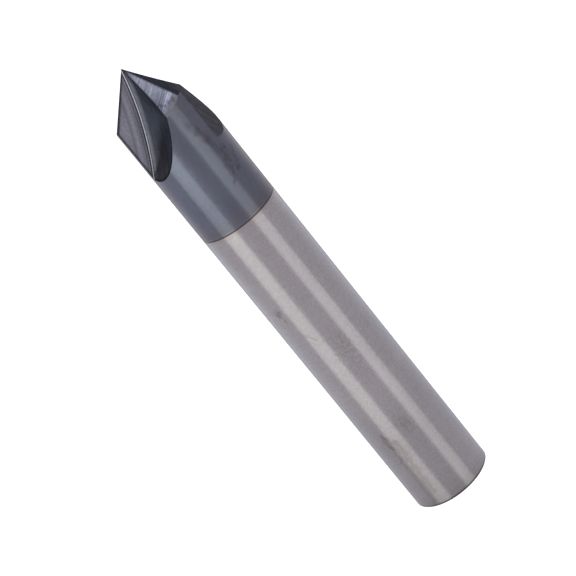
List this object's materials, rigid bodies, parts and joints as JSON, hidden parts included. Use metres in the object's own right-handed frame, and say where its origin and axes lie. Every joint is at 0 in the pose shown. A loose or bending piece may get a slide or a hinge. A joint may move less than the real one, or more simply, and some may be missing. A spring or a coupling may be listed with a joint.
{
  "type": "chamfer mill",
  "caption": "One-piece carbide milling cutter with a pointed, fluted, coated head for chamfers and a plain round shank.",
  "frame": {"origin": "centre of the flat end face of the shank", "axes": "+Z along the axis from the shank end to the cutting point; the first cutting edge lies on the -X side and its rake face looks along -Y"},
  "size_m": [0.012, 0.012, 0.0762],
  "materials": {
    "carbide": "satin"
  },
  "bodies": {
    "root": {"chamfer_mill": "carbide"}
  },
  "joints": []
}
